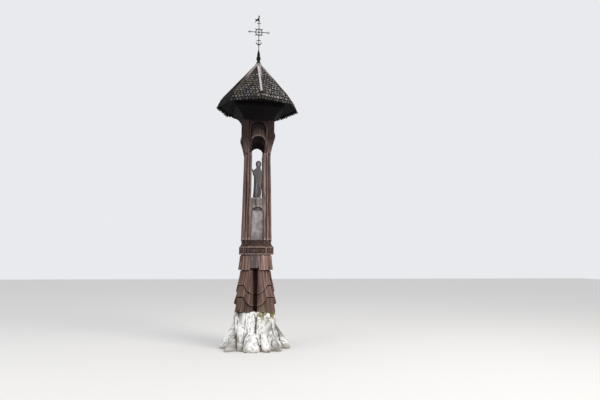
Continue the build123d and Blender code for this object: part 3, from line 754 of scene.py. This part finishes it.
jaw = ((0, -0.018, -0.027), (0.0245, 0.0265, 0.024))
chin = ((0, -0.034, -0.043), (0.012, 0.010, 0.009))
nose_bridge = ((0, -0.0445, -0.007), (0.0038, 0.006, 0.0135))
nose_tip = ((0, -0.0475, -0.0175), (0.0055, 0.0055, 0.0046))
upper_lip = ((0, -0.0432, -0.0292), (0.0098, 0.0042, 0.0024))
lower_lip = ((0, -0.0428, -0.0342), (0.0082, 0.0044, 0.0027))
head_masses = [skull, face, jaw, chin, nose_bridge, nose_tip, upper_lip, lower_lip]
for side in (-1, 1):
    cheek = ((side * 0.0165, -0.0265, -0.014), (0.013, 0.0145, 0.015))
    brow = ((side * 0.0135, -0.0375, 0.0075), (0.0115, 0.0062, 0.003))
    lid = ((side * 0.0128, -0.0382, -0.0025), (0.0074, 0.0062, 0.0048))
    nostril = ((side * 0.0046, -0.0455, -0.0185), (0.0034, 0.004, 0.0032))
    head_masses += [cheek, brow, lid, nostril]
for offset, half_sizes in head_masses:
    place = head_middle + Vector(offset) * head_scale
    add_ball(figure_form, place, Vector(half_sizes) * head_scale)
add_limb(figure_form, (
    ((-0.036, -0.002, 0.5), 0.026),
    ((-0.052, -0.022, 0.45), 0.028),
    ((-0.074, -0.034, 0.49), 0.017),
    ((-0.086, -0.037, 0.512), 0.0125),
))
add_ball(figure_form, (-0.046, -0.014, 0.455), (0.034, 0.03, 0.055))
raised_hand = Vector((-0.088, -0.037, 0.526))
add_ball(figure_form, raised_hand, (0.011, 0.009, 0.016))
add_limb(figure_form, (
    ((0.066, -0.002, 0.488), 0.022),
    ((0.076, -0.006, 0.36), 0.021),
    ((0.066, -0.026, 0.225), 0.018),
))
lowered_hand = Vector((0.063, -0.036, 0.196))
add_ball(figure_form, lowered_hand, (0.0135, 0.013, 0.02))
bmesh.ops.recalc_face_normals(figure_form, faces=figure_form.faces)
figure_shell = evenly_meshed(figure_form, 0.0022, 1)
face_half = Vector((0.031, 0, 0.047)) * head_scale
face_drop = 0.008
face_front = -0.025 * head_scale
face_edge = 0.08


def face_share(vert):
    """How far a point of the figure lies inside the face: 0 outside, 1 well inside."""
    spot = vert.co - Vector((0, 0, figure_foot)) - head_middle
    away = math.hypot(spot.x / face_half.x, (spot.z + face_drop) / face_half.z)
    return min(max((1 - away) / face_edge, 0), 1) if spot.y < face_front else 0


smooth_face = {vert: vert.co.copy() for vert in figure_shell.verts if face_share(vert) > 0}
roughen(figure_shell, depth=0.0012, across=0.012, along=0.07)
for vert, place in smooth_face.items():
    vert.co = place
for vert in figure_shell.verts:
    if vert.co.z < figure_foot + 0.002:
        vert.co.z = figure_foot
figure_shell.normal_update()
mark_wear(figure_shell, 3)
wear = figure_shell.verts.layers.float["wear"]
skin = figure_shell.verts.layers.float.new("skin")
hood_dark = figure_shell.verts.layers.float.new("hood_dark")
hood_foot = 0.566
hood_fade = 0.01
hand_reach = 0.02
lowered_hand_reach = 0.023
lid_place = Vector((0.0128, 0, -0.0045)) * head_scale
lid_reach = 0.0085 * head_scale
lid_flatness = 1.7
lid_shade = 0.8
lid_edge = 1.3
face_softness = 0.7
for vert in figure_shell.verts:
    spot = vert.co - Vector((0, 0, figure_foot))
    in_raised_hand = (spot - raised_hand).length < hand_reach
    in_lowered_hand = (spot - lowered_hand).length < lowered_hand_reach
    in_face = face_share(vert)
    lid_side = abs(spot.x - head_middle.x) - lid_place.x
    lid_rise = lid_flatness * (spot.z - head_middle.z - lid_place.z)
    shade = lid_shade * min(max(lid_edge - math.hypot(lid_side, lid_rise) / lid_reach, 0), 1)
    vert[skin] = 1 if in_raised_hand or in_lowered_hand else in_face * (1 - shade)
    vert[hood_dark] = (1 - in_face) * min(max((spot.z - hood_foot) / hood_fade, 0), 1)
    vert[wear] *= 1 - face_softness * in_face
# Painted light and shade: sides takes the figure from dark on its left to bright on its right.
figure_paint = oak_finish(
    "figure_paint",
    plain=(0.33, 0.325, 0.325),
    worn=(0.58, 0.57, 0.58),
    hollow=(0.04, 0.039, 0.041),
    paints={"hood_dark": (0.035, 0.034, 0.038), "skin": (0.46, 0.44, 0.445)},
    sides=(0.15, 1.75),
    split=False,
)
finished_piece(figure_shell, "carved_figure", figure_paint, ["figure"])

# Figure base: the small oak block that the figure stands on, painted a darker grey. It sits on the
# pedestal in the niche.
base_shell = remeshed("figure_base", 0.003, 1)
mark_wear(base_shell, 2)
base_paint = oak_finish(
    "base_paint",
    plain=(0.08, 0.075, 0.076),
    worn=(0.2, 0.19, 0.19),
    hollow=(0.014, 0.014, 0.014),
)
finished_piece(base_shell, "carved_figure_base", base_paint, ["figure_base"])

# Head: one block of oak with the niche's round vault and sunk arches, and four leaning hoods whose
# lips are worn and painted pale as a highlight. Always in shade, it is painted a dark brown for that
# shade, which goes nearly black in the vault and under the roof, and lighter on its right as painted
# light.
head_oak = oak_finish(
    "head_oak",
    plain=(0.060, 0.037, 0.033),
    worn=(0.115, 0.076, 0.067),
    hollow=(0.012, 0.007, 0.0072),
    roof_shade_levels=(3.78, 4.16),
    paints={"rim_highlight": (0.15, 0.108, 0.098)},
    sides=(0.66, 1.35),
)
head_shell = remeshed("head_block", 0.007, 1)
roughen(head_shell, depth=0.003, across=0.05, along=0.5, tapered=True)
mark_sunk_shade(head_shell, 0, start=0.03, full=0.08)
mark_wear(head_shell, 3)
finished_piece(head_shell, "carved_head_block", head_oak, ["head_block"], tapered=True)
soffit_rise = 0.1
soffit_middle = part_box("hood_front")[0].z + soffit_rise
soffit_facing = 0.3
rim_width = 0.011
rim_highlight_share = 0.7
for hood_name in ("hood_front", "hood_back", "hood_left", "hood_right"):
    hood_shell = remeshed(hood_name, 0.005, 1)
    sunk = hood_shell.verts.layers.float.new("sunk")
    rim_highlight = hood_shell.verts.layers.float.new("rim_highlight")
    lip_reach = max(max(abs(vert.co.x), abs(vert.co.y)) for vert in hood_shell.verts)
    for vert in hood_shell.verts:
        inwards = Vector((-vert.co.x, 0, soffit_middle - vert.co.z)).normalized()
        # Painted shade: where the front and back hoods face into the vault they are marked sunk and
        # painted dark as its shade.
        if hood_name in ("hood_front", "hood_back") and vert.normal.dot(inwards) > soffit_facing:
            vert[sunk] = 1
        # Painted highlight: the outermost band of each lip is painted pale, as a worn edge that catches
        # the light.
        elif max(abs(vert.co.x), abs(vert.co.y)) > lip_reach - rim_width:
            vert[rim_highlight] = rim_highlight_share
    roughen(hood_shell, depth=0.002, across=0.03, along=0.3, tapered=True)
    mark_wear(hood_shell, 2)
    finished_piece(hood_shell, "carved_" + hood_name, head_oak, [hood_name], tapered=True)

# Capital: an oak cove that stands on the head and flares out under the roof. It always lies in the
# roof's shade, which is painted into its colour as nearly black.
capital_oak = oak_finish(
    "capital_oak",
    plain=(0.005, 0.0036, 0.004),
    worn=(0.01, 0.0075, 0.0075),
    hollow=(0.002, 0.0016, 0.0018),
)
capital_shell = remeshed("capital", 0.009, 1)
roughen(capital_shell, depth=0.003, across=0.05, along=0.2)
mark_wear(capital_shell, 2)
finished_piece(capital_shell, "coved_capital", capital_oak, ["capital"])

# Roof boards: a boarded deck, a rail, the eave boards and eight sides of boards under the shingles.
# They have weathered dark, and the shade under the roof is painted into them, nearly black.
dark_shaded_board, dark_shaded_tree = new_finish("dark_shaded_board", 0.9)
dark_shaded_grain = stepped(dark_shaded_tree, mottle(dark_shaded_tree, 25, (1, 0.1, 1), 5), 0.35, 0.7)
weathered_shade_black = (0.002, 0.0018, 0.002)
weathered_shade_grain = (0.009, 0.008, 0.009)
dark_shaded_colour = layered(dark_shaded_tree, dark_shaded_grain, weathered_shade_black, weathered_shade_grain)
coated(dark_shaded_tree, dark_shaded_colour, [(mottle(dark_shaded_tree, 90, (1, 0.1, 1), 5), 0.002)])
roof_sides = 8
slope_names = [f"roof_slope_{number}" for number in range(1, roof_sides + 1)]
for board_name in ("roof_deck", "eave_rail", "eave_boards", *slope_names):
    dress(board_name, dark_shaded_board)

# Shingles: split oak with a rounded foot, laid in half bond over the eight sides and hung over the
# eave boards, where the lowest row makes a lobed fringe. The crown of each foot is worn pale. The tone
# and pale crowns are painted brighter on the sides that face the sun and darker on those turned away,
# as painted light and shade, and the sides on the left are mossy.
shingle_width = 0.0587
shingle_gap = 0.004
shingle_length = 0.155
shingle_thickness = 0.005
exposure = 0.0695
fringe_drop = 0.026
worn_length = 0.043
worn_end = 0.068
shaded_wood = (0.005, 0.0043, 0.0043)
sunny_wood = (0.024, 0.020, 0.019)
worn_silver = (0.545, 0.51, 0.495)
dry_moss = (0.036, 0.031, 0.014)
shingle_wood, shingle_tree = new_finish("shingle_wood", 0.88)
tone_share = attribute_factor(shingle_tree, "tone")
shingle_colour = layered(shingle_tree, tone_share, shaded_wood, sunny_wood)
grain_share = stepped(shingle_tree, mottle(shingle_tree, 110, (1, 1, 0.25), 4), 0.47, 0.58)
worn_share = both(shingle_tree, attribute_factor(shingle_tree, "crown"), grain_share)
shingle_colour = layered(shingle_tree, worn_share, shingle_colour, worn_silver)
moss_side = both(
    shingle_tree, reach(shingle_tree, "X", 0.2, -0.3), reach(shingle_tree, "X", -0.5, -0.42),
)
moss_share = both(shingle_tree, stepped(shingle_tree, mottle(shingle_tree, 6), 0.50, 0.64), moss_side)
shingle_colour = layered(shingle_tree, moss_share, shingle_colour, dry_moss)
coated(shingle_tree, shingle_colour, [
    (mottle(shingle_tree, 170, (1, 1, 0.15), 4), 0.0015),
    (mottle(shingle_tree, 30, detail=4), 0.003),
])


def shingle_blank():
    """One shingle lying flat, its round foot at the origin, its head along Y and its face crowned."""
    nothing = 0.0001
    half = (shingle_width - shingle_gap) / 2
    blank = bmesh.new()
    outline = bmesh.ops.create_circle(blank, cap_ends=True, segments=12, radius=half)["verts"]
    for vert in outline:
        if vert.co.y > -nothing:
            vert.co.y = shingle_length - half
            vert.co.x = math.copysign(half, vert.co.x) if abs(vert.co.x) > 0.001 else 0
        vert.co.y += half
    bmesh.ops.remove_doubles(blank, verts=blank.verts, dist=0.0005)
    grown = bmesh.ops.extrude_face_region(blank, geom=blank.faces[:])["geom"]
    top_face = next(item for item in grown if isinstance(item, bmesh.types.BMFace))
    bmesh.ops.translate(blank, verts=top_face.verts, vec=(0, 0, shingle_thickness))
    bmesh.ops.recalc_face_normals(blank, faces=blank.faces)
    bmesh.ops.inset_region(blank, faces=[top_face], thickness=0.008, depth=0.001)
    crown = blank.verts.layers.float.new("crown")
    for vert in top_face.verts:
        vert[crown] = 1
    for height in (worn_length, worn_end):
        bmesh.ops.bisect_plane(
            blank,
            geom=blank.verts[:] + blank.edges[:] + blank.faces[:],
            plane_co=(0, height, 0),
            plane_no=(0, 1, 0),
            dist=nothing,
        )
    for vert in blank.verts:
        vert[crown] *= min(max((worn_end - vert.co.y) / (worn_end - worn_length), 0), 1)
    return mesh_of(blank, "shingle_blank")


def outer_face(node_name, outward, steepest):
    """Largest face of a roof board that looks up and straight outwards."""
    straightness = 20
    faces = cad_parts[node_name].data.polygons
    seen = [face for face in faces if face.normal.dot(outward) > 0.5 and face.normal.z > steepest]
    return max(seen, key=lambda face: face.area * face.normal.dot(outward) ** straightness)


def face_frame(node_name, azimuth, steepest):
    """Place of a roof face, from the middle of its foot, half its foot, its length and its lean.

    The place's axes run across the face, up it and outwards."""
    same_plane = 0.9999
    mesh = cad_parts[node_name].data
    outward = Vector((math.cos(azimuth), math.sin(azimuth), 0))
    normal = outer_face(node_name, outward, steepest).normal
    corners = [
        mesh.vertices[index].co
        for face in mesh.polygons if face.normal.dot(normal) > same_plane
        for index in face.vertices
    ]
    up = (Vector((0, 0, 1)) - normal * normal.z).normalized()
    across = up.cross(normal)
    foot_level = min(corner.z for corner in corners)
    foot_reach = (normal.dot(corners[0]) - normal.z * foot_level) / normal.dot(outward)
    axes = Matrix((across, up, normal)).transposed().to_4x4()
    place = Matrix.Translation(outward * foot_reach + Vector((0, 0, foot_level))) @ axes
    length = (max(corner.z for corner in corners) - foot_level) / up.z
    return place, foot_reach * math.tan(math.pi / roof_sides), length, normal.z


def lay_shingles(shell, blank_mesh, place, foot_half, length, shrink, first, sun, chance):
    """Rows of shingles on one face, from a first row hung at its foot; shrink narrows each row."""
    butt_rise = 1.6 * shingle_thickness
    head_thinning = 0.5
    past_hip = shingle_width * 0.45
    board_gap = 0.0005
    least_worn = 0.35
    fringe_worn = 0.25
    tone = shell.verts.layers.float.new("tone")
    crown = shell.verts.layers.float.new("crown")
    for row in range(math.ceil((length - first) / exposure)):
        rise = first + row * exposure
        half = foot_half - shrink * rise
        shift = shingle_width / 2 * (row % 2)
        count = math.ceil((half + shingle_width) / shingle_width)
        for step in range(-count, count + 1):
            across = step * shingle_width + shift
            if abs(across) > half + past_hip:
                continue
            before = len(shell.verts)
            shell.from_mesh(blank_mesh)
            shell.verts.ensure_lookup_table()
            fresh = shell.verts[before:]
            shade = chance.random()
            wide = chance.uniform(0.9, 1.04)
            slip = chance.uniform(-0.007, 0.007)
            skew = chance.uniform(-0.04, 0.04)
            lift = chance.uniform(0.0, 0.0018)
            # Painted light: each shingle's pale crown and its tone below are scaled by the sun on its
            # side.
            bare = sun * (least_worn + (1 - least_worn) * shade)
            if rise < -fringe_drop / 2:
                bare *= fringe_worn
            for vert in fresh:
                share = vert.co.y / shingle_length
                face_rise = vert.co.z * (1 - head_thinning * share)
                vert[tone] = shade * shade * sun
                vert[crown] *= bare
                vert.co = Vector((
                    vert.co.x * wide + across + skew * vert.co.y,
                    min(vert.co.y + rise + slip, length),
                    face_rise + (1 - share) * (butt_rise + lift) + board_gap,
                ))
            bmesh.ops.transform(shell, verts=fresh, matrix=place)


def trim_at_hips(shell, azimuth, hip_gap):
    """Cut a face's shingles short of the two hips beside it and close the cuts."""
    for side in (-1, 1):
        hip = azimuth + side * math.pi / roof_sides
        outside = Vector((-math.sin(hip), math.cos(hip), 0)) * side
        cut = bmesh.ops.bisect_plane(
            shell,
            geom=shell.verts[:] + shell.edges[:] + shell.faces[:],
            plane_co=-outside * hip_gap,
            plane_no=outside,
            dist=0.0001,
            clear_outer=True,
        )
        cut_edges = [item for item in cut["geom_cut"] if isinstance(item, bmesh.types.BMEdge)]
        bmesh.ops.holes_fill(shell, edges=cut_edges, sides=0)


shingle_mesh = shingle_blank()
shingle_chance = random.Random(7)
sun_azimuth = math.radians(-55)
sky_light = 0.4
sun_light = 0.66
faintest_sun = 0.25
sun_contrast = 1.6
bare_hip = 0.001
under_strip = 0.02
slope_drop = 0.012
for number, slope_name in enumerate(slope_names, start=1):
    slope_low, slope_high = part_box(slope_name)
    slope_middle = (slope_low + slope_high) / 2
    outward = Vector((slope_middle.x, slope_middle.y, 0)).normalized()
    slope_normal = outer_face(slope_name, outward, 0.3).normal
    azimuth = math.atan2(slope_normal.y, slope_normal.x)
    # Painted light: how brightly this side is painted, from how far it turns to the sun.
    sun = sky_light + sun_light * math.cos(azimuth - sun_azimuth)
    sun = min(max(sun, faintest_sun), 1) ** sun_contrast
    covering = bmesh.new()
    for face_node, steepest, drop, hip_gap in (
        ("eave_boards", 0.1, fringe_drop, bare_hip),
        (slope_name, 0.3, slope_drop, under_strip),
    ):
        place, foot_half, length, steep = face_frame(face_node, azimuth, steepest)
        shrink = steep * math.tan(math.pi / roof_sides)
        face_cover = bmesh.new()
        lay_shingles(
            face_cover, shingle_mesh, place, foot_half, length, shrink, -drop, sun, shingle_chance,
        )
        trim_at_hips(face_cover, azimuth, hip_gap)
        face_mesh = mesh_of(face_cover, "face_cover")
        covering.from_mesh(face_mesh)
        bpy.data.meshes.remove(face_mesh)
    finished_piece(covering, f"shingles_{number}", shingle_wood, smooth=False)

# Hip strips: an oak board nailed over each hip. The left half of the board over the front hip is
# painted paler, and the tops of those beside it have bleached.
old_strip = (0.03, 0.024, 0.02)
old_strip_worn = (0.085, 0.068, 0.058)
pale_strip = (0.28, 0.265, 0.255)
pale_strip_worn = (0.55, 0.52, 0.505)
bleached_strip = (0.26, 0.215, 0.2)
roof_turn = math.radians(2)
strip_wood, strip_tree = new_finish("strip_wood", 0.85)
strip_grain = stepped(strip_tree, mottle(strip_tree, 60, (1, 1, 0.15), 5), 0.35, 0.65)
strip_old = layered(strip_tree, strip_grain, old_strip, old_strip_worn)
strip_pale = layered(strip_tree, strip_grain, pale_strip, pale_strip_worn)
strip_top = both(strip_tree, reach(strip_tree, "Y", -0.02, -0.05), reach(strip_tree, "Z", 4.86, 5.02))
strip_colour = layered(strip_tree, strip_top, strip_old, bleached_strip)
left_edge = reach(strip_tree, "X", -0.06, -0.045, -roof_turn)
right_edge = reach(strip_tree, "X", 0.004, -0.002, -roof_turn)
front_hip = reach(strip_tree, "Y", -0.02, -0.06)
pale_half = both(strip_tree, both(strip_tree, left_edge, right_edge), front_hip)
strip_colour = layered(strip_tree, pale_half, strip_colour, strip_pale)
coated(strip_tree, strip_colour, [(mottle(strip_tree, 120, (1, 1, 0.15), 5), 0.002)])
dress("hip_strips", strip_wood)

# Roof cap: a small eight-sided oak block that closes the roof's top, where the hip strips meet. It
# has weathered to a mottled silver grey.
dull_grey = (0.14, 0.125, 0.12)
silver_grey = (0.36, 0.335, 0.325)
cap_oak, cap_tree = new_finish("cap_oak", 0.7)
cap_share = stepped(cap_tree, mottle(cap_tree, 22, detail=6), 0.35, 0.65)
cap_colour = layered(cap_tree, cap_share, dull_grey, silver_grey)
coated(cap_tree, cap_colour, [(mottle(cap_tree, 60), 0.002)])
dress("roof_cap", cap_oak)

# Finial: a turned oak spike that stands on the cap and holds the foot of the iron rod. Weather has
# made it nearly black.
wet_oak = (0.004, 0.0036, 0.004)
wet_oak_worn = (0.016, 0.0145, 0.015)
finial_wood, finial_tree = new_finish("finial_wood", 0.8)
finial_share = stepped(finial_tree, mottle(finial_tree, 70, (1, 1, 0.1), 5), 0.35, 0.65)
finial_colour = layered(finial_tree, finial_share, wet_oak, wet_oak_worn)
coated(finial_tree, finial_colour, [(mottle(finial_tree, 120, (1, 1, 0.1), 5), 0.0015)])
dress("finial", finial_wood)

# Iron cross and vane: forged bars riveted together on one rod, blackened and lightly rusted, with a
# fishtail vane that turns on the rod below its tip. The ring has grown thick with rust and paint.
black_iron = (0.022, 0.021, 0.022)
rust_brown = (0.075, 0.04, 0.026)
forged_iron, iron_tree = new_finish("forged_iron", 0.62)
iron_tree.nodes["Principled BSDF"].inputs["Metallic"].default_value = 0.5
rust_share = stepped(iron_tree, mottle(iron_tree, 45, detail=7), 0.5, 0.68)
iron_colour = layered(iron_tree, rust_share, black_iron, rust_brown)
coated(iron_tree, iron_colour, [(mottle(iron_tree, 150), 0.001)])
scale_growth = 0.0035
ring_shell = merged("ring_quarters")
ring_shell.normal_update()
for vert in ring_shell.verts:
    vert.co += vert.normal * scale_growth
finished_piece(
    ring_shell, "scaled_ring_quarters", forged_iron, ["ring_quarters"], smooth=False,
)
for iron_name in ("cross_rod", "cross_arms", "rod_crosslets", "crescent", "vane"):
    dress(iron_name, forged_iron)
